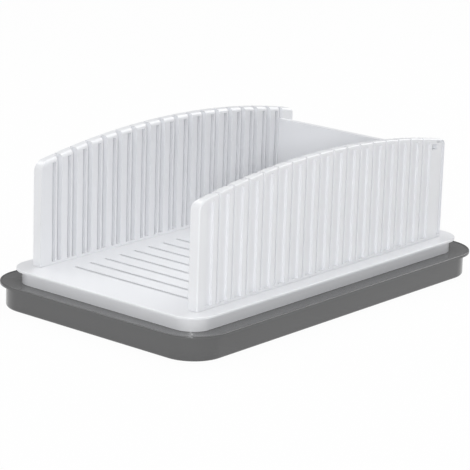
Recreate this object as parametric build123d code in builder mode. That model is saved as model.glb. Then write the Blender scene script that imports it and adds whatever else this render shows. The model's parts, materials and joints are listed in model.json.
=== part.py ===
"""Bread slicer guide: a crumb tray, a lift-off deck, two slotted walls and a back panel.

Units are millimetres. +X runs along the loaf from the open front to the back panel, +Y runs across
to the left wall and +Z is up. The origin is on the table, under the middle of the tray. Nothing is
screwed together: the deck stands in the tray, the walls stand in sockets in the deck, and the back
panel slides down a groove in each wall.
"""
from build123d import *
import math
import os

# ---------------------------------------------------------------- driving dimensions
# crumb tray: an outer wall, a broad ledge with a raised bead, and a well for the crumbs
RIM_LENGTH = 335.0
RIM_WIDTH = 204.0
RIM_CORNER_R = 30.0
RIM_OVERHANG = 4.5          # the rim stands this far out from the tray's wall
RIM_EDGE_T = 2.0            # height of the rim's outer edge
RIM_EDGE_R = 0.9
RIM_BEAD_W = 5.0            # width of the raised bead round the ledge
TRAY_H = 19.2               # from the tray's underside to the top of the rim bead
TRAY_WALL_T = 2.4
TRAY_FLOOR_T = 2.2
TRAY_FOOT_ROUND = 1.8       # rounding at the foot of the outer wall
LEDGE_DROP = 1.7            # the ledge lies this far under the rim bead
LEDGE_T = 2.2
LEDGE_W = 19.5              # from the rim's outer edge to the mouth of the well

# rubber feet under the tray
FOOT_R = 8.0
FOOT_PROUD = 0.4
FOOT_BEVEL = 0.3
FOOT_SEAT_DEPTH = 0.8
FOOT_SEAT_CLEAR = 0.15
FOOT_INSET_X = 27.0         # from the mouth of the well to a foot's centre
FOOT_INSET_Y = 22.0

# deck: the plate that carries the loaf, with a skirt that stands on the tray's ledge
DECK_INSET_X = 11.0         # the flange stands back this far from the rim's outer edge
DECK_INSET_Y = 11.5
DECK_CORNER_R = 20.0
FLANGE_T = 1.7
FLANGE_EDGE_R = 0.7
PLATE_T = 3.0               # the plate inside the skirt is thicker than the flange
SKIRT_INSET = 4.05          # the flange overhangs the skirt by this much
SKIRT_H = 9.5
SKIRT_T = 2.2
GUIDE_RING_CLEAR = 1.0      # between the guide ring and the mouth of the well
GUIDE_RING_T = 2.0
GUIDE_RING_DEPTH = 5.0      # how far the ring reaches down into the well
DECK_RIB_INSET = 8.3        # from a wall's inner face to the stiffening rib under the deck
DECK_RIB_T = 2.0
DECK_RIB_H = 5.0
SEAT_CLEAR = 0.1            # between a lift-out piece and what it stands on

# slotted walls
WALL_INSET_X = 15.8         # the walls stand back this far from the flange's outer edge
WALL_INSET_Y = 12.2
WALL_T = 8.0
WALL_END_H = 75.9           # from the deck to the top edge at the wall's ends
WALL_RISE = 13.5            # how much higher the arch is at its middle
FRONT_CORNER_R = 8.5
BACK_CORNER_R = 4.5
EDGE_ROUND_IN = 3.0         # rounding of the arched top edge, on the inner side
EDGE_BEVEL_OUT = 0.7
SLOT_PITCH = 15.5
SLOT_W = 1.8
SLOT_BOTTOM_H = 2.0         # the slots end this far above the deck
FRONT_POST_L = 21.0         # least length of the wall in front of the first tooth
BACK_POST_L = 12.4          # length of the wall behind the panel's bay
CAP_T = 3.0                 # solid top edge over the pockets and the grooves

# one tooth of the wall, measured from its guide face towards the back panel
POCKET_START = 2.6          # pocket in the outer face
POCKET_W = 6.8
POCKET_DEPTH = 2.2
GROOVE_START = 5.9          # groove in the inner face
GROOVE_W = 3.3
GROOVE_DEPTH = 4.0
BAY_W = 4.6                 # open bay in the inner face, in front of each slot
BAY_DEPTH = 4.0

# the wall's last post, behind the back panel
BAND_W = 4.0                # narrow recess along the back edge of the outer face
BAND_EDGE_T = 0.8           # thin flange left round the recess
BAND_TOP_W = 1.9            # its arm under the top edge is narrower
BAND_TOP_L = 9.9            # length of that arm
WINDOW_W = 6.8              # window through the outer face, over the panel's top edge
WINDOW_H = 4.6
WINDOW_SILL_UP = 0.2        # its sill lies this far over the panel's top edge

# back panel, whose side edges stand in the bay behind each wall's last tooth
PANEL_CLEAR = 0.25          # to the groove's sides and floor
PANEL_DROP = 6.0            # its top edge lies this far under the walls' ends
PANEL_WEB_T = 2.4
PANEL_BORDER = 9.0          # full-thickness border round the hollow back
PANEL_RIB_W = 2.0
PANEL_RIB_STEP = 33.0
PANEL_CORNER_R = 1.5

# tongues under the walls and the panel, and their sockets in the deck
TONGUE_L = 30.0
TONGUE_DEPTH = 8.5
TONGUE_LEAD = 0.8           # bevel at a tongue's end
WALL_TONGUE_T = 4.0
WALL_TONGUE_INSET = 44.7    # from the wall's end to the middle of the nearest tongue
PANEL_TONGUE_T = 3.0
PANEL_TONGUE_Y = (-40.0, 40.0)
SOCKET_CLEAR = 0.2
SOCKET_WALL_T = 1.8
SOCKET_PAST = 0.5           # a socket's wall reaches this far past its tongue

# crumb slots through the deck, one in line with each pair of knife slots
CRUMB_SLOT_W = 3.0
CRUMB_SLOT_TO_RIB = 5.0

# ---------------------------------------------------------------- places worked out from them
TRAY_BASE_Z = FOOT_PROUD
RIM_TOP_Z = TRAY_BASE_Z + TRAY_H
LEDGE_Z = RIM_TOP_Z - LEDGE_DROP
BODY_LENGTH = RIM_LENGTH - 2 * RIM_OVERHANG
BODY_WIDTH = RIM_WIDTH - 2 * RIM_OVERHANG
BODY_CORNER_R = RIM_CORNER_R - RIM_OVERHANG
WELL_LENGTH = RIM_LENGTH - 2 * LEDGE_W
WELL_WIDTH = RIM_WIDTH - 2 * LEDGE_W
WELL_CORNER_R = RIM_CORNER_R - LEDGE_W
FOOT_X = WELL_LENGTH / 2 - FOOT_INSET_X
FOOT_Y = WELL_WIDTH / 2 - FOOT_INSET_Y
FOOT_PLACES = {
    "foot_front_left": (-FOOT_X, FOOT_Y),
    "foot_front_right": (-FOOT_X, -FOOT_Y),
    "foot_back_left": (FOOT_X, FOOT_Y),
    "foot_back_right": (FOOT_X, -FOOT_Y),
}

DECK_LENGTH = RIM_LENGTH - 2 * DECK_INSET_X
DECK_WIDTH = RIM_WIDTH - 2 * DECK_INSET_Y
SKIRT_FOOT_Z = LEDGE_Z + SEAT_CLEAR
FLANGE_Z = SKIRT_FOOT_Z + SKIRT_H
DECK_TOP_Z = FLANGE_Z + FLANGE_T
PLATE_Z = DECK_TOP_Z - PLATE_T
SKIRT_LENGTH = DECK_LENGTH - 2 * SKIRT_INSET
SKIRT_WIDTH = DECK_WIDTH - 2 * SKIRT_INSET
RING_LENGTH = WELL_LENGTH - 2 * GUIDE_RING_CLEAR
RING_WIDTH = WELL_WIDTH - 2 * GUIDE_RING_CLEAR

WALL_LENGTH = DECK_LENGTH - 2 * WALL_INSET_X
WALL_OUT_Y = DECK_WIDTH / 2 - WALL_INSET_Y
WALL_IN_Y = WALL_OUT_Y - WALL_T
WALL_MID_Y = WALL_OUT_Y - WALL_T / 2
WALL_FRONT_X = -WALL_LENGTH / 2
WALL_BACK_X = WALL_LENGTH / 2
STAND_Z = DECK_TOP_Z + SEAT_CLEAR
WALL_END_Z = DECK_TOP_Z + WALL_END_H
WALL_TOP_Z = WALL_END_Z + WALL_RISE
SLOT_BOTTOM_Z = DECK_TOP_Z + SLOT_BOTTOM_H
ARCH_R = ((WALL_LENGTH / 2) ** 2 + WALL_RISE**2) / (2 * WALL_RISE)

# the teeth are set out from the panel's bay forwards, as many as the wall has room for
PANEL_BAY_X1 = WALL_BACK_X - BACK_POST_L
SLOT_COUNT = math.floor((WALL_LENGTH - FRONT_POST_L - BACK_POST_L) / SLOT_PITCH + 0.001)
TOOTH_X = [PANEL_BAY_X1 - (SLOT_COUNT - k) * SLOT_PITCH for k in range(SLOT_COUNT)]
POST_AND_TEETH_X = [TOOTH_X[0] - SLOT_PITCH] + TOOTH_X
PANEL_BAY_X0 = PANEL_BAY_X1 - BAY_W
PANEL_X0 = PANEL_BAY_X0 + PANEL_CLEAR
PANEL_T = BAY_W - 2 * PANEL_CLEAR
PANEL_MID_X = PANEL_X0 + PANEL_T / 2
PANEL_EDGE_Y = WALL_IN_Y + BAY_DEPTH - PANEL_CLEAR
PANEL_TOP_Z = WALL_END_Z - PANEL_DROP

WALL_TONGUE_X = (WALL_FRONT_X + WALL_TONGUE_INSET, 0.0, WALL_BACK_X - WALL_TONGUE_INSET)
DECK_RIB_Y = WALL_IN_Y - DECK_RIB_INSET
CRUMB_SLOT_L = 2 * (DECK_RIB_Y - DECK_RIB_T / 2 - CRUMB_SLOT_TO_RIB)
SOCKET_L = TONGUE_L + 2 * SOCKET_CLEAR
WALL_SOCKET_W = WALL_TONGUE_T + 2 * SOCKET_CLEAR
PANEL_SOCKET_W = PANEL_TONGUE_T + 2 * SOCKET_CLEAR
SOCKET_FOOT_Z = STAND_Z - TONGUE_DEPTH - SOCKET_PAST
SLEEVE_Y0 = WALL_MID_Y - WALL_SOCKET_W / 2 - SOCKET_WALL_T
SLEEVE_Y1 = RING_WIDTH / 2 - GUIDE_RING_T / 2

os.makedirs("parts", exist_ok=True)


def arch_z(x):
    """Height of a wall's arched top edge at x."""
    return WALL_TOP_Z - ARCH_R + math.sqrt(ARCH_R**2 - x**2)


def strip(x0, x1, bottom_z, cap):
    """Corners of an upright strip that ends this far under the arched top edge, or over it."""
    return [(x0, bottom_z), (x1, bottom_z), (x1, arch_z(x1) - cap), (x0, arch_z(x0) - cap)]


# ---------------------------------------------------------------- crumb tray
with BuildPart() as crumb_tray:
    # outer wall, hollow underneath between itself and the wall of the well
    with BuildSketch(Plane.XY.offset(TRAY_BASE_Z)):
        RectangleRounded(BODY_LENGTH, BODY_WIDTH, BODY_CORNER_R)
    extrude(amount=LEDGE_Z - TRAY_BASE_Z)
    fillet(crumb_tray.faces().sort_by(Axis.Z)[0].edges(), radius=TRAY_FOOT_ROUND)
    with BuildSketch(Plane.XY.offset(TRAY_BASE_Z)):
        RectangleRounded(BODY_LENGTH - 2 * TRAY_WALL_T, BODY_WIDTH - 2 * TRAY_WALL_T,
                         BODY_CORNER_R - TRAY_WALL_T)
        RectangleRounded(WELL_LENGTH + 2 * TRAY_WALL_T, WELL_WIDTH + 2 * TRAY_WALL_T,
                         WELL_CORNER_R + TRAY_WALL_T, mode=Mode.SUBTRACT)
    extrude(amount=LEDGE_Z - LEDGE_T - TRAY_BASE_Z, mode=Mode.SUBTRACT)
    # overhanging rim with its raised bead
    with BuildSketch(Plane.XY.offset(RIM_TOP_Z - RIM_EDGE_T)):
        RectangleRounded(RIM_LENGTH, RIM_WIDTH, RIM_CORNER_R)
    extrude(amount=RIM_EDGE_T)
    fillet(crumb_tray.faces().sort_by(Axis.Z)[-1].edges(), radius=RIM_EDGE_R)
    with BuildSketch(Plane.XY.offset(LEDGE_Z)):
        RectangleRounded(RIM_LENGTH - 2 * RIM_BEAD_W, RIM_WIDTH - 2 * RIM_BEAD_W,
                         RIM_CORNER_R - RIM_BEAD_W)
    extrude(amount=2 * LEDGE_DROP, mode=Mode.SUBTRACT)
    # the well
    with BuildSketch(Plane.XY.offset(TRAY_BASE_Z + TRAY_FLOOR_T)):
        RectangleRounded(WELL_LENGTH, WELL_WIDTH, WELL_CORNER_R)
    extrude(amount=TRAY_H, mode=Mode.SUBTRACT)
    # seats for the rubber feet
    with BuildSketch(Plane.XY.offset(TRAY_BASE_Z)):
        with Locations(*FOOT_PLACES.values()):
            Circle(FOOT_R + FOOT_SEAT_CLEAR)
    extrude(amount=FOOT_SEAT_DEPTH, mode=Mode.SUBTRACT)
crumb_tray.part.label = "crumb_tray"
export_step(crumb_tray.part, "parts/crumb_tray.step")

# ---------------------------------------------------------------- rubber feet
for foot_name, foot_place in FOOT_PLACES.items():
    with BuildPart() as foot:
        with BuildSketch():
            with Locations(foot_place):
                Circle(FOOT_R)
        extrude(amount=FOOT_PROUD + FOOT_SEAT_DEPTH)
        chamfer(foot.faces().sort_by(Axis.Z)[0].edges(), length=FOOT_BEVEL)
    foot.part.label = foot_name
    export_step(foot.part, f"parts/{foot_name}.step")

# ---------------------------------------------------------------- deck
with BuildPart() as deck:
    with BuildSketch(Plane.XY.offset(FLANGE_Z)):
        RectangleRounded(DECK_LENGTH, DECK_WIDTH, DECK_CORNER_R)
    extrude(amount=FLANGE_T)
    fillet(deck.faces().sort_by(Axis.Z)[-1].edges(), radius=FLANGE_EDGE_R)
    # thicker plate inside the skirt
    with BuildSketch(Plane.XY.offset(PLATE_Z)):
        RectangleRounded(SKIRT_LENGTH, SKIRT_WIDTH, DECK_CORNER_R - SKIRT_INSET)
    extrude(amount=FLANGE_Z - PLATE_Z)
    # skirt that stands on the tray's ledge
    with BuildSketch(Plane.XY.offset(SKIRT_FOOT_Z)):
        RectangleRounded(SKIRT_LENGTH, SKIRT_WIDTH, DECK_CORNER_R - SKIRT_INSET)
        RectangleRounded(SKIRT_LENGTH - 2 * SKIRT_T, SKIRT_WIDTH - 2 * SKIRT_T,
                         DECK_CORNER_R - SKIRT_INSET - SKIRT_T, mode=Mode.SUBTRACT)
    extrude(amount=SKIRT_H)
    # guide ring that drops into the mouth of the well
    with BuildSketch(Plane.XY.offset(SKIRT_FOOT_Z - GUIDE_RING_DEPTH)):
        RectangleRounded(RING_LENGTH, RING_WIDTH, WELL_CORNER_R - GUIDE_RING_CLEAR)
        RectangleRounded(RING_LENGTH - 2 * GUIDE_RING_T, RING_WIDTH - 2 * GUIDE_RING_T,
                         WELL_CORNER_R - GUIDE_RING_CLEAR - GUIDE_RING_T, mode=Mode.SUBTRACT)
    extrude(amount=GUIDE_RING_DEPTH + SKIRT_H)
    # two stiffening ribs under the plate, from end to end of the guide ring
    with BuildSketch(Plane.XY.offset(PLATE_Z - DECK_RIB_H)):
        with Locations((0, -DECK_RIB_Y), (0, DECK_RIB_Y)):
            Rectangle(RING_LENGTH - GUIDE_RING_T, DECK_RIB_T)
    extrude(amount=DECK_RIB_H)
    # walls of the sockets: the walls' own run out to the guide ring
    with BuildSketch(Plane.XY.offset(SOCKET_FOOT_Z)):
        with Locations(*[(x, side * (SLEEVE_Y0 + SLEEVE_Y1) / 2)
                         for x in WALL_TONGUE_X for side in (-1, 1)]):
            Rectangle(SOCKET_L + 2 * SOCKET_WALL_T, SLEEVE_Y1 - SLEEVE_Y0)
        with Locations(*[(PANEL_MID_X, y) for y in PANEL_TONGUE_Y]):
            Rectangle(PANEL_SOCKET_W + 2 * SOCKET_WALL_T, SOCKET_L + 2 * SOCKET_WALL_T)
    extrude(amount=PLATE_Z - SOCKET_FOOT_Z)
    # the sockets, open right through
    with BuildSketch(Plane.XY.offset(DECK_TOP_Z)):
        with Locations(*[(x, side * WALL_MID_Y) for x in WALL_TONGUE_X for side in (-1, 1)]):
            Rectangle(SOCKET_L, WALL_SOCKET_W)
        with Locations(*[(PANEL_MID_X, y) for y in PANEL_TONGUE_Y]):
            Rectangle(PANEL_SOCKET_W, SOCKET_L)
    extrude(amount=SOCKET_FOOT_Z - DECK_TOP_Z, mode=Mode.SUBTRACT)
    # crumb slots in line with the knife slots
    with BuildSketch(Plane.XY.offset(DECK_TOP_Z)):
        with Locations(*[(x - SLOT_W / 2, 0) for x in TOOTH_X]):
            SlotOverall(CRUMB_SLOT_L, CRUMB_SLOT_W, rotation=90)
    extrude(amount=-PLATE_T, mode=Mode.SUBTRACT)
deck.part.label = "deck"
export_step(deck.part, "parts/deck.step")

# ---------------------------------------------------------------- slotted walls
INNER_FACE = Plane.XZ.offset(-WALL_IN_Y)
OUTER_FACE = Plane.XZ.offset(-WALL_OUT_Y)
with BuildPart() as left_wall:
    # plate with an arched top, rounded along the inner side
    with BuildSketch(INNER_FACE) as plate:
        with BuildLine():
            Line((WALL_FRONT_X, STAND_Z), (WALL_BACK_X, STAND_Z))
            Line((WALL_BACK_X, STAND_Z), (WALL_BACK_X, WALL_END_Z))
            ThreePointArc((WALL_BACK_X, WALL_END_Z), (0, WALL_TOP_Z), (WALL_FRONT_X, WALL_END_Z))
            Line((WALL_FRONT_X, WALL_END_Z), (WALL_FRONT_X, STAND_Z))
        make_face()
    extrude(amount=-WALL_T)
    fillet(left_wall.edges().group_by(Axis.Y)[0].sort_by(Axis.Z)[-1], radius=EDGE_ROUND_IN)
    # its top corners are cut round, and the uprights stay sharp
    with BuildSketch(INNER_FACE) as outline:
        add(plate.sketch_local)
        fillet(outline.vertices().group_by(Axis.Y)[-1].sort_by(Axis.X)[0], radius=FRONT_CORNER_R)
        fillet(outline.vertices().group_by(Axis.X)[-1].sort_by(Axis.Y)[-1], radius=BACK_CORNER_R)
    extrude(amount=-WALL_T, mode=Mode.INTERSECT)
    chamfer(left_wall.edges().group_by(Axis.Y)[-1].sort_by(Axis.Z)[1:], length=EDGE_BEVEL_OUT)
    # pockets in the outer face, one in the front post and one in every tooth
    with BuildSketch(OUTER_FACE):
        for x in POST_AND_TEETH_X:
            Polygon(*strip(x + POCKET_START, x + POCKET_START + POCKET_W, SLOT_BOTTOM_Z, CAP_T),
                    align=None)
    extrude(amount=POCKET_DEPTH, mode=Mode.SUBTRACT)
    # grooves in the inner face
    with BuildSketch(INNER_FACE):
        for x in POST_AND_TEETH_X:
            Polygon(*strip(x + GROOVE_START, x + GROOVE_START + GROOVE_W, SLOT_BOTTOM_Z, CAP_T),
                    align=None)
    extrude(amount=-GROOVE_DEPTH, mode=Mode.SUBTRACT)
    # bays open at the top; the last one runs down to the foot and takes the panel's edge
    with BuildSketch(INNER_FACE):
        for x in TOOTH_X:
            Polygon(*strip(x - BAY_W, x, SLOT_BOTTOM_Z, -WALL_T), align=None)
        Polygon(*strip(PANEL_BAY_X0, PANEL_BAY_X1, STAND_Z, -WALL_T), align=None)
    extrude(amount=-BAY_DEPTH, mode=Mode.SUBTRACT)
    # knife slots, right through and open at the top
    with BuildSketch(INNER_FACE):
        for x in TOOTH_X:
            Polygon(*strip(x - SLOT_W, x, SLOT_BOTTOM_Z, -WALL_T), align=None)
    extrude(amount=-WALL_T, mode=Mode.SUBTRACT)
    # recess along the back edge, with its arm under the top edge
    with BuildSketch(OUTER_FACE):
        offset(outline.sketch_local, amount=-BAND_EDGE_T)
        with Locations((WALL_BACK_X, SLOT_BOTTOM_Z)):
            Rectangle(BAND_EDGE_T + BAND_W, WALL_TOP_Z - SLOT_BOTTOM_Z,
                      align=(Align.MAX, Align.MIN), mode=Mode.INTERSECT)
    extrude(amount=POCKET_DEPTH, mode=Mode.SUBTRACT)
    with BuildSketch(OUTER_FACE):
        offset(outline.sketch_local, amount=-BAND_EDGE_T)
        offset(outline.sketch_local, amount=-BAND_EDGE_T - BAND_TOP_W, mode=Mode.SUBTRACT)
        with Locations((WALL_BACK_X, WALL_TOP_Z)):
            Rectangle(BAND_EDGE_T + BAND_TOP_L, WALL_END_H / 2,
                      align=(Align.MAX, Align.MAX), mode=Mode.INTERSECT)
    extrude(amount=POCKET_DEPTH, mode=Mode.SUBTRACT)
    # window over the panel's top edge
    with BuildSketch(OUTER_FACE):
        with Locations((PANEL_BAY_X0, PANEL_TOP_Z + WINDOW_SILL_UP)):
            Rectangle(WINDOW_W, WINDOW_H, align=(Align.MIN, Align.MIN))
    extrude(amount=WALL_T - BAY_DEPTH, mode=Mode.SUBTRACT)
    # tongues under the foot
    with BuildSketch(Plane.XY.offset(STAND_Z)):
        with Locations(*[(x, WALL_MID_Y) for x in WALL_TONGUE_X]):
            Rectangle(TONGUE_L, WALL_TONGUE_T)
    extrude(amount=-TONGUE_DEPTH)
    chamfer(left_wall.faces().group_by(Axis.Z)[0].edges(), length=TONGUE_LEAD)
left_wall.part.label = "left_wall"
export_step(left_wall.part, "parts/left_wall.step")

with BuildPart() as right_wall:
    add(mirror(left_wall.part, about=Plane.XZ, mode=Mode.PRIVATE))
right_wall.part.label = "right_wall"
export_step(right_wall.part, "parts/right_wall.step")

# ---------------------------------------------------------------- back panel
with BuildPart() as back_panel:
    with BuildSketch(Plane.YZ.offset(PANEL_X0)) as panel_outline:
        with Locations((0, (STAND_Z + PANEL_TOP_Z) / 2)):
            Rectangle(2 * PANEL_EDGE_Y, PANEL_TOP_Z - STAND_Z)
        fillet(panel_outline.vertices().group_by(Axis.Y)[-1], radius=PANEL_CORNER_R)
    extrude(amount=PANEL_T)
    # hollow back with upright ribs, inside a border that is the full thickness
    with BuildSketch(Plane.YZ.offset(PANEL_X0 + PANEL_T)):
        with Locations((0, (STAND_Z + PANEL_TOP_Z) / 2)):
            Rectangle(2 * (PANEL_EDGE_Y - PANEL_BORDER), PANEL_TOP_Z - STAND_Z - 2 * PANEL_BORDER)
            with Locations((-PANEL_RIB_STEP, 0), (0, 0), (PANEL_RIB_STEP, 0)):
                Rectangle(PANEL_RIB_W, PANEL_TOP_Z - STAND_Z, mode=Mode.SUBTRACT)
    extrude(amount=PANEL_WEB_T - PANEL_T, mode=Mode.SUBTRACT)
    # tongues under the foot
    with BuildSketch(Plane.XY.offset(STAND_Z)):
        with Locations(*[(PANEL_MID_X, y) for y in PANEL_TONGUE_Y]):
            Rectangle(PANEL_TONGUE_T, TONGUE_L)
    extrude(amount=-TONGUE_DEPTH)
    chamfer(back_panel.faces().group_by(Axis.Z)[0].edges(), length=TONGUE_LEAD)
back_panel.part.label = "back_panel"
export_step(back_panel.part, "parts/back_panel.step")
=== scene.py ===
"""Looks of the bread slicer guide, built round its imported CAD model.

The CAD solids carry every form shown but one, so this script dresses them: glossy white moulding
for the deck, walls and back panel, and rubber for the feet. The crumb tray is built here, because
its ledge rises gently to a thin rim where the CAD node has a level ledge and a broad bead. Its
other sizes are the node's, apart from the feet's seats, which are left out. The script then sets
the floor, the lights and the camera. Lengths are metres in the CAD frame.
"""

from __future__ import annotations

import json
import logging
import math
from dataclasses import dataclass
from enum import Enum
from typing import Any, Union

import bmesh
import bpy
from mathutils import Matrix, Vector

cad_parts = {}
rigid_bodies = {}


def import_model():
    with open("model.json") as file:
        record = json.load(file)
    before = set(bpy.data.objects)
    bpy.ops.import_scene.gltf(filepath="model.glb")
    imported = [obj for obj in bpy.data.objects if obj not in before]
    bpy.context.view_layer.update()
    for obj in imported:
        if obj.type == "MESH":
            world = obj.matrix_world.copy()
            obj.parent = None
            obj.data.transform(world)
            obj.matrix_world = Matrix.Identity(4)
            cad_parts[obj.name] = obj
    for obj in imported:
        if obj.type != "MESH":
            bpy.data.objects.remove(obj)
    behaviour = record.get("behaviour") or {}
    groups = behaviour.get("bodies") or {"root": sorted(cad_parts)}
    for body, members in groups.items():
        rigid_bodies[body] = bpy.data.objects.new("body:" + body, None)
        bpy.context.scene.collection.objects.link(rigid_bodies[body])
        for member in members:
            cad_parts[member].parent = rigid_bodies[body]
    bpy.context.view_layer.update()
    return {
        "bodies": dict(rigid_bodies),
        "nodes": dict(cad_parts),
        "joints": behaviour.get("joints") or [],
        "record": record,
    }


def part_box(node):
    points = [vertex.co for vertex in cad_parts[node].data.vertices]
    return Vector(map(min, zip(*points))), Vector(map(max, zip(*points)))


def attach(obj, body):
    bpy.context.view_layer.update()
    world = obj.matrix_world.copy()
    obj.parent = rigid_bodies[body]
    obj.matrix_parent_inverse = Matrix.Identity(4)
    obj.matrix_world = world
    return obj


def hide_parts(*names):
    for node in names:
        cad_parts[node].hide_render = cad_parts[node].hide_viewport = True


LOG = logging.getLogger("bread_slicer_guide")
Number = Union[float, int]
Colour = tuple[float, float, float, float]


def grey(level: Number, blue: Number = 0.0) -> Colour:
    """Return the linear colour of an sRGB grey level from 0 to 255, with its blue raised."""

    def linear(value: float) -> float:
        """Return one sRGB channel as a linear value."""
        share = min(max(value / 255.0, 0.0), 1.0)
        return share / 12.92 if share <= 0.04045 else ((share + 0.055) / 1.055) ** 2.4

    return (linear(level), linear(level + blue * 0.3), linear(level + blue), 1.0)


class Maths(Enum):
    """Operations of a Math node that the finishes use."""

    ADD = "ADD"
    SUBTRACT = "SUBTRACT"
    MULTIPLY = "MULTIPLY"
    MAXIMUM = "MAXIMUM"


class MouldPart(Enum):
    """Which moulding a finish belongs to."""

    WHITE = "white_plastic"
    TRAY = "tray_plastic"
    RUBBER = "foot_rubber"


class Shade:
    """One value socket of a node tree, with the arithmetic that adds Math nodes.

    Args:
        web: The node tree's helper.
        socket: The output socket that this value reads.
    """

    def __init__(self, web: "NodeWeb", socket: Any) -> None:
        """Keep the tree's helper and the socket."""
        self.web = web
        self.socket = socket

    def _with(self, kind: Maths, left: Any, right: Any) -> "Shade":
        """Return the output of one Math node on two values."""
        node = self.web.node("ShaderNodeMath", {"operation": kind.value}, {0: left, 1: right})
        return Shade(self.web, node.outputs[0])

    def __add__(self, other: "Shade | Number") -> "Shade":
        """Return self + other."""
        return self._with(Maths.ADD, self, other)

    def __radd__(self, other: Number) -> "Shade":
        """Return other + self."""
        return self._with(Maths.ADD, other, self)

    def __sub__(self, other: "Shade | Number") -> "Shade":
        """Return self - other."""
        return self._with(Maths.SUBTRACT, self, other)

    def __rsub__(self, other: Number) -> "Shade":
        """Return other - self."""
        return self._with(Maths.SUBTRACT, other, self)

    def __mul__(self, other: "Shade | Number") -> "Shade":
        """Return self * other."""
        return self._with(Maths.MULTIPLY, self, other)

    def __rmul__(self, other: Number) -> "Shade":
        """Return other * self."""
        return self._with(Maths.MULTIPLY, other, self)

    def at_least(self, other: "Shade | Number") -> "Shade":
        """Return the larger of self and other."""
        return self._with(Maths.MAXIMUM, self, other)


class NodeWeb:
    """The node tree of one new material.

    Args:
        name: The material's name.
    """

    def __init__(self, name: str) -> None:
        """Make the material and empty its tree."""
        self.material = bpy.data.materials.new(name)
        self.material.use_nodes = True
        self.tree = self.material.node_tree
        self.tree.nodes.clear()

    def node(self, kind: str, settings: dict[str, Any], values: dict[Any, Any]) -> Any:
        """Add a node, set it and fill its sockets.

        Args:
            kind: The node's type name.
            settings: Properties set on the node before its sockets.
            values: Socket name or number to a number, a colour, a socket or a Shade.

        Returns:
            The new node.
        """
        made = self.tree.nodes.new(kind)
        for name, value in settings.items():
            setattr(made, name, value)
        for key, value in values.items():
            source = value.socket if isinstance(value, Shade) else value
            if isinstance(source, bpy.types.NodeSocket):
                self.tree.links.new(source, made.inputs[key])
            else:
                made.inputs[key].default_value = source
        return made

    def place(self) -> Any:
        """Return the Object coordinates, which are the CAD frame's metres."""
        return self.node("ShaderNodeTexCoord", {}, {}).outputs["Object"]

    def noise(self, scale: float, detail: float) -> Shade:
        """Return a noise value from 0 to 1 over the Object coordinates."""
        made = self.node(
            "ShaderNodeTexNoise", {}, {"Vector": self.place(), "Scale": scale, "Detail": detail}
        )
        return Shade(self, made.outputs[0])

    def blend(self, share: Shade, low: Colour, high: Colour) -> Any:
        """Return the colour between low and high at a share from 0 to 1."""
        made = self.node("ShaderNodeMix", {"data_type": "RGBA"}, {})
        self.tree.links.new(share.socket, made.inputs[0])
        made.inputs[6].default_value = low
        made.inputs[7].default_value = high
        return made.outputs[2]

    def bump(self, height: Shade, strength: float, distance: float) -> Any:
        """Return a normal raised by height, over a distance in metres."""
        made = self.node(
            "ShaderNodeBump", {}, {"Strength": strength, "Distance": distance, "Height": height}
        )
        return made.outputs["Normal"]

    def finish(self, sockets: dict[str, Any]) -> bpy.types.Material:
        """End the tree with one Principled shader.

        Args:
            sockets: The shader's socket names to their values or links.

        Returns:
            The finished material.
        """
        shader = self.node("ShaderNodeBsdfPrincipled", {}, sockets)
        self.node("ShaderNodeOutputMaterial", {}, {"Surface": shader.outputs[0]})
        return self.material


@dataclass(frozen=True)
class MouldedFinish:
    """A moulded surface: faint mottle in its colour, a fine grain and uneven gloss.

    Attributes:
        part: The moulding that the finish belongs to.
        dark: Colour at the low end of the mottle.
        pale: Colour at the high end of the mottle.
        roughness: Middle of the roughness.
        roughness_swing: How far the roughness strays over the surface.
        grain_scale: Grains per metre.
        grain_height: Height of the grain in metres.
        coat: Weight of the clear gloss over the moulding.
        coat_roughness: Roughness of that gloss.
        mottle_scale: Patches of the mottle per metre.
        flow_scale: Patches of the uneven gloss per metre.
        flow_share: How much of the uneven gloss shows in the relief.
        relief: Strength of the grain's relief.
        least_roughness: The roughness never falls below this.
        index: Index of refraction.
    """

    part: MouldPart
    dark: Colour
    pale: Colour
    roughness: float
    roughness_swing: float
    grain_scale: float
    grain_height: float
    coat: float
    coat_roughness: float = 0.12
    mottle_scale: float = 14.0
    flow_scale: float = 46.0
    flow_share: float = 0.35
    relief: float = 0.35
    least_roughness: float = 0.05
    index: float = 1.5

    def material(self) -> bpy.types.Material:
        """Return the finish as a new material."""
        web = NodeWeb(self.part.value)
        mottle = web.noise(self.mottle_scale, 2.0)
        flow = web.noise(self.flow_scale, 3.0)
        grain = web.noise(self.grain_scale, 2.0)
        gloss = self.roughness + (flow - 0.5) * (2.0 * self.roughness_swing)
        return web.finish(
            {
                "Base Color": web.blend(mottle, self.dark, self.pale),
                "Roughness": gloss.at_least(self.least_roughness),
                "Normal": web.bump(
                    grain + self.flow_share * flow, self.relief, self.grain_height
                ),
                "Coat Weight": self.coat,
                "Coat Roughness": self.coat_roughness,
                "IOR": self.index,
            }
        )


WHITE_GLOSS = MouldedFinish(
    part=MouldPart.WHITE, dark=grey(236, 4), pale=grey(241, 4), roughness=0.3,
    roughness_swing=0.04, grain_scale=900.0, grain_height=0.00003, coat=0.25,
)
TRAY_SATIN = MouldedFinish(
    part=MouldPart.TRAY, dark=grey(88, 1), pale=grey(93, 1), roughness=0.22,
    roughness_swing=0.03, grain_scale=1400.0, grain_height=0.00002, coat=0.3,
    coat_roughness=0.08,
)
FOOT_RUBBER = MouldedFinish(
    part=MouldPart.RUBBER, dark=grey(34), pale=grey(42), roughness=0.8,
    roughness_swing=0.06, grain_scale=2200.0, grain_height=0.00008, coat=0.0,
)


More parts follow.
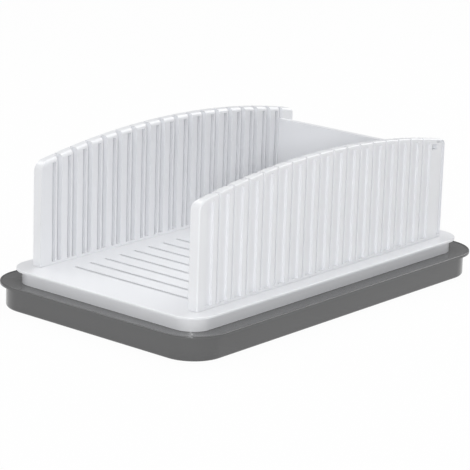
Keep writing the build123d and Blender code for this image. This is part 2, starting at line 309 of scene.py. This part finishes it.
@dataclass
class Moulding:
    """CAD nodes that share one finish.

    Attributes:
        finish: The finish they wear.
        nodes: Their names in the frame.
    """

    finish: MouldedFinish
    nodes: tuple[str, ...]

    def dress(self, frame: dict[str, Any]) -> None:
        """Put the finish on every node.
        """
        material = self.finish.material()
        for name in self.nodes:
            piece = frame["nodes"][name]
            piece.data.materials.clear()
            piece.data.materials.append(material)
            LOG.info("dressed %s in %s", name, self.finish.part.value)


@dataclass(frozen=True)
class TrayForm:
    """The crumb tray's shape: one section carried round a rounded rectangle.

    Attributes:
        length: Length over the rim.
        width: Width over the rim.
        base: Height of the underside.
        top: Height of the rim's top.
        corner: Radius of the rim's corners.
        wall_inset: How far the outer wall stands in from the rim's edge.
        wall: Thickness of the walls.
        floor: Thickness of the well's floor.
        foot_round: Rounding at the foot of the outer wall.
        edge_depth: Height of the rim's outer edge.
        edge_round: Rounding of that edge.
        lip: Width of the thin lip along the edge.
        lip_depth: How far under the top the ledge meets the lip.
        level_inset: Where the ledge, falling inwards from the lip, turns level.
        ledge_drop: How far under the top its level part lies.
        ledge_depth: Thickness of the ledge.
        well_inset: How far the well's mouth lies in from the rim's edge.
        corner_steps: Facets round a corner of the plan.
        round_steps: Facets round a rounded edge of the section.
        crease: Least angle in degrees at which an edge shows sharp.
    """

    length: float
    width: float
    base: float
    top: float
    corner: float = 0.030
    wall_inset: float = 0.0045
    wall: float = 0.0024
    floor: float = 0.0022
    foot_round: float = 0.0018
    edge_depth: float = 0.0020
    edge_round: float = 0.0009
    lip: float = 0.0012
    lip_depth: float = 0.0004
    level_inset: float = 0.0150
    ledge_drop: float = 0.0017
    ledge_depth: float = 0.0022
    well_inset: float = 0.0195
    corner_steps: int = 24
    round_steps: int = 6
    crease: float = 35.0

    @classmethod
    def in_place_of(cls, node: str) -> "TrayForm":
        """Return the shape with the outer sizes of a CAD node."""
        low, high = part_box(node)
        return cls(
            length=high[0] - low[0], width=high[1] - low[1], base=low[2], top=high[2]
        )

    def arc(self, inset: float, height: float, radius: float, start: float, end: float
            ) -> list[tuple[float, float]]:
        """Return points along an arc of the section.

        Args:
            inset: The centre's inset.
            height: The centre's height.
            radius: The arc's radius.
            start: Its first angle in degrees.
            end: Its last angle in degrees.

        Returns:
            Insets and heights.
        """
        turns = [math.radians(start + (end - start) * k / self.round_steps)
                 for k in range(self.round_steps + 1)]
        return [(inset + radius * math.cos(t), height + radius * math.sin(t)) for t in turns]

    def section(self) -> list[tuple[float, float]]:
        """Return insets and heights from under the well, round the rim, to the well's floor."""
        ledge = self.top - self.ledge_drop
        hollow_top = ledge - self.ledge_depth
        under_well = self.well_inset - self.wall
        behind_wall = self.wall_inset + self.wall
        edge_foot = self.top - self.edge_depth
        foot, edge = self.foot_round, self.edge_round
        return [
            (under_well, self.base), (under_well, hollow_top),
            (behind_wall, hollow_top), (behind_wall, self.base),
            *self.arc(self.wall_inset + foot, self.base + foot, foot, 270.0, 180.0),
            (self.wall_inset, edge_foot), (0.0, edge_foot),
            *self.arc(edge, self.top - edge, edge, 180.0, 90.0),
            (self.lip, self.top), (self.lip, self.top - self.lip_depth),
            (self.level_inset, ledge), (self.well_inset, ledge),
            (self.well_inset, self.base + self.floor),
        ]

    def outline(self, inset: float) -> list[tuple[float, float]]:
        """Return the plan's points in order, a given inset from the rim's outer edge."""
        radius = self.corner - inset
        points = []
        for quarter, (side_x, side_y) in enumerate(((1, 1), (-1, 1), (-1, -1), (1, -1))):
            for k in range(self.corner_steps + 1):
                turn = math.radians(90.0 * (quarter + k / self.corner_steps))
                points.append((
                    side_x * (self.length / 2 - self.corner) + radius * math.cos(turn),
                    side_y * (self.width / 2 - self.corner) + radius * math.sin(turn),
                ))
        return points

    def outward(self, place: Vector) -> Vector:
        """Return the outline's outward direction at a place on one of its parallels."""
        past_x = max(abs(place.x) - (self.length / 2 - self.corner), 0.0)
        past_y = max(abs(place.y) - (self.width / 2 - self.corner), 0.0)
        return Vector(
            (math.copysign(past_x, place.x), math.copysign(past_y, place.y), 0.0)
        ).normalized()

    def build(self, name: str) -> bpy.types.Object:
        """Build the tray.

        Args:
            name: The new object's name.

        Returns:
            The tray, linked to the scene.
        """
        shape = bmesh.new()
        at, *rest = self.section()
        shape.faces.new([shape.verts.new((x, y, at[1])) for x, y in self.outline(at[0])])
        ring = list(shape.edges)
        for point in rest:
            made = bmesh.ops.extrude_edge_only(shape, edges=ring)["geom"]
            fresh = {item for item in made if isinstance(item, bmesh.types.BMVert)}
            for vert in fresh:
                vert.co += (at[0] - point[0]) * self.outward(vert.co)
                vert.co.z = point[1]
            ring = [item for item in made
                    if isinstance(item, bmesh.types.BMEdge) and fresh.issuperset(item.verts)]
            at = point
        bmesh.ops.edgeloop_fill(shape, edges=ring)
        bmesh.ops.recalc_face_normals(shape, faces=shape.faces)
        for face in shape.faces:
            face.smooth = True
        for edge in shape.edges:
            edge.smooth = edge.calc_face_angle() < math.radians(self.crease)
        mesh = bpy.data.meshes.new(name)
        shape.to_mesh(mesh)
        shape.free()
        tray = bpy.data.objects.new(name, mesh)
        bpy.context.scene.collection.objects.link(tray)
        return tray


@dataclass
class Tray(Moulding):
    """The crumb tray, built here with its sloping ledge."""

    finish: MouldedFinish = TRAY_SATIN
    nodes: tuple[str, ...] = ("crumb_tray",)

    def dress(self, frame: dict[str, Any]) -> None:
        """Build the tray in its finish, in place of its node.
        """
        tray = TrayForm.in_place_of(self.nodes[0]).build("tray_with_sloping_ledge")
        tray.data.materials.append(self.finish.material())
        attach(tray, "tray")
        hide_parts(*self.nodes)
        LOG.info("built %s", tray.name)


@dataclass
class Feet(Moulding):
    """The four rubber feet under the tray."""

    finish: MouldedFinish = FOOT_RUBBER
    nodes: tuple[str, ...] = (
        "foot_front_left", "foot_front_right", "foot_back_left", "foot_back_right",
    )


@dataclass
class Guide(Moulding):
    """The white deck with its walls and back panel."""

    finish: MouldedFinish = WHITE_GLOSS
    nodes: tuple[str, ...] = ("deck", "left_wall", "right_wall", "back_panel")


LAMP_AIM = Vector((0.0, 0.0, 0.05))


@dataclass(frozen=True)
class Lamp:
    """One square lamp that faces the middle of the guide.

    Attributes:
        name: The lamp's name.
        place: Where it hangs.
        power: Its watts.
        size: The length of its side.
    """

    name: str
    place: tuple[float, float, float]
    power: float
    size: float

    def hang(self) -> None:
        """Hang the lamp in the scene."""
        data = bpy.data.lights.new(self.name, "AREA")
        data.shape = "SQUARE"
        data.size = self.size
        data.energy = self.power
        lamp = bpy.data.objects.new(self.name, data)
        place = Vector(self.place)
        lamp.location = place
        lamp.rotation_mode = "QUATERNION"
        lamp.rotation_quaternion = (LAMP_AIM - place).to_track_quat("-Z", "Y")
        bpy.context.scene.collection.objects.link(lamp)
        LOG.info("hung %s", self.name)


TOP_LAMP = Lamp("top_lamp", (0.1, 0.05, 1.5), 11.5, 1.6)
FRONT_LAMP = Lamp("front_lamp", (-1.45, -1.06, 0.52), 13.3, 0.3)
BACK_LAMP = Lamp("back_lamp", (-0.25, 0.95, 1.15), 3.0, 0.6)
RIGHT_LAMP = Lamp("right_lamp", (1.2, -0.15, 0.95), 7.0, 1.0)


@dataclass
class Studio:
    """Floor, lights and camera.

    Attributes:
        floor_half: Half the floor's side.
        floor_colour: Colour of the floor under its shown white.
        floor_white: Strength of that white.
        white_share: How much of the white is shown; the rest keeps the shadow.
        world_level: Brightness of the even light from all round.
        lamps: The lamps round the guide.
        camera_place: Where the camera stands.
        camera_yaw: Turn of the camera about +Z, in degrees.
        camera_pitch: How far the camera looks down, in degrees.
        camera_roll: Turn about the line of sight, in degrees.
        camera_lens: Focal length in millimetres.
        camera_sensor: Width of the sensor in millimetres.
        camera_reach: How far the camera sees.
    """

    floor_half: float = 15.0
    floor_colour: Colour = grey(228)
    floor_white: float = 1.0
    white_share: float = 0.97
    world_level: float = 0.32
    lamps: tuple[Lamp, ...] = (TOP_LAMP, FRONT_LAMP, BACK_LAMP, RIGHT_LAMP)
    camera_place: tuple[float, float, float] = (-1.2308, -1.0223, 0.4794)
    camera_yaw: float = -50.06
    camera_pitch: float = 15.33
    camera_roll: float = 1.83
    camera_lens: float = 172.05
    camera_sensor: float = 36.0
    camera_reach: float = 20.0

    def seen_white(self) -> bpy.types.Material:
        """Return the floor's material, which looks white and lights as a plain pale surface."""
        web = NodeWeb("floor_white")
        path = web.node("ShaderNodeLightPath", {}, {})
        rays = [Shade(web, path.outputs[key])
                for key in ("Is Camera Ray", "Is Glossy Ray", "Is Transmission Ray")]
        seen = rays[0].at_least(rays[1]).at_least(rays[2])
        plain = web.node("ShaderNodeBsdfDiffuse", {}, {"Color": self.floor_colour})
        white = web.node(
            "ShaderNodeEmission", {}, {"Color": (1, 1, 1, 1), "Strength": self.floor_white}
        )
        mixed = web.node(
            "ShaderNodeMixShader", {},
            {0: seen * self.white_share, 1: plain.outputs[0], 2: white.outputs[0]},
        )
        web.node("ShaderNodeOutputMaterial", {}, {"Surface": mixed.outputs[0]})
        return web.material

    def lay_floor(self) -> None:
        """Lay the pale floor that the guide stands on."""
        mesh = bpy.data.meshes.new("floor")
        shape = bmesh.new()
        bmesh.ops.create_grid(shape, x_segments=1, y_segments=1, size=self.floor_half)
        shape.to_mesh(mesh)
        shape.free()
        floor = bpy.data.objects.new("floor", mesh)
        bpy.context.scene.collection.objects.link(floor)
        mesh.materials.append(self.seen_white())
        LOG.info("laid the floor")

    def light_room(self) -> None:
        """Light the guide evenly from all round."""
        world = bpy.data.worlds.new("room")
        world.use_nodes = True
        back = world.node_tree.nodes["Background"]
        back.inputs["Color"].default_value = (1.0, 1.0, 1.0, 1.0)
        back.inputs["Strength"].default_value = self.world_level
        bpy.context.scene.world = world

    def stand_camera(self) -> None:
        """Stand the camera at the photograph's angle."""
        yaw, pitch, roll = (
            math.radians(a) for a in (self.camera_yaw, self.camera_pitch, self.camera_roll)
        )
        right = Vector((math.cos(yaw), math.sin(yaw), 0.0))
        ahead = Vector((-math.sin(yaw) * math.cos(pitch), math.cos(yaw) * math.cos(pitch),
                        -math.sin(pitch)))
        up = right.cross(ahead)
        across = math.cos(roll) * right + math.sin(roll) * up
        above = -math.sin(roll) * right + math.cos(roll) * up
        turn = Matrix((across, above, -ahead)).transposed()
        data = bpy.data.cameras.new("camera")
        data.sensor_width = self.camera_sensor
        data.lens = self.camera_lens
        data.clip_end = self.camera_reach
        camera = bpy.data.objects.new("camera", data)
        camera.matrix_world = Matrix.Translation(self.camera_place) @ turn.to_4x4()
        bpy.context.scene.collection.objects.link(camera)
        bpy.context.scene.camera = camera
        LOG.info("stood the camera")

    def build(self) -> None:
        """Make the whole studio."""
        bpy.context.scene.view_settings.view_transform = "Standard"
        self.lay_floor()
        self.light_room()
        for lamp in self.lamps:
            lamp.hang()
        self.stand_camera()


def main() -> None:
    """Dress the guide and build its studio."""
    logging.basicConfig(level=logging.INFO, format="%(message)s")
    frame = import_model()
    for sub_assembly in (Tray(), Feet(), Guide()):
        sub_assembly.dress(frame)
    Studio().build()


if __name__ == "__main__":
    main()
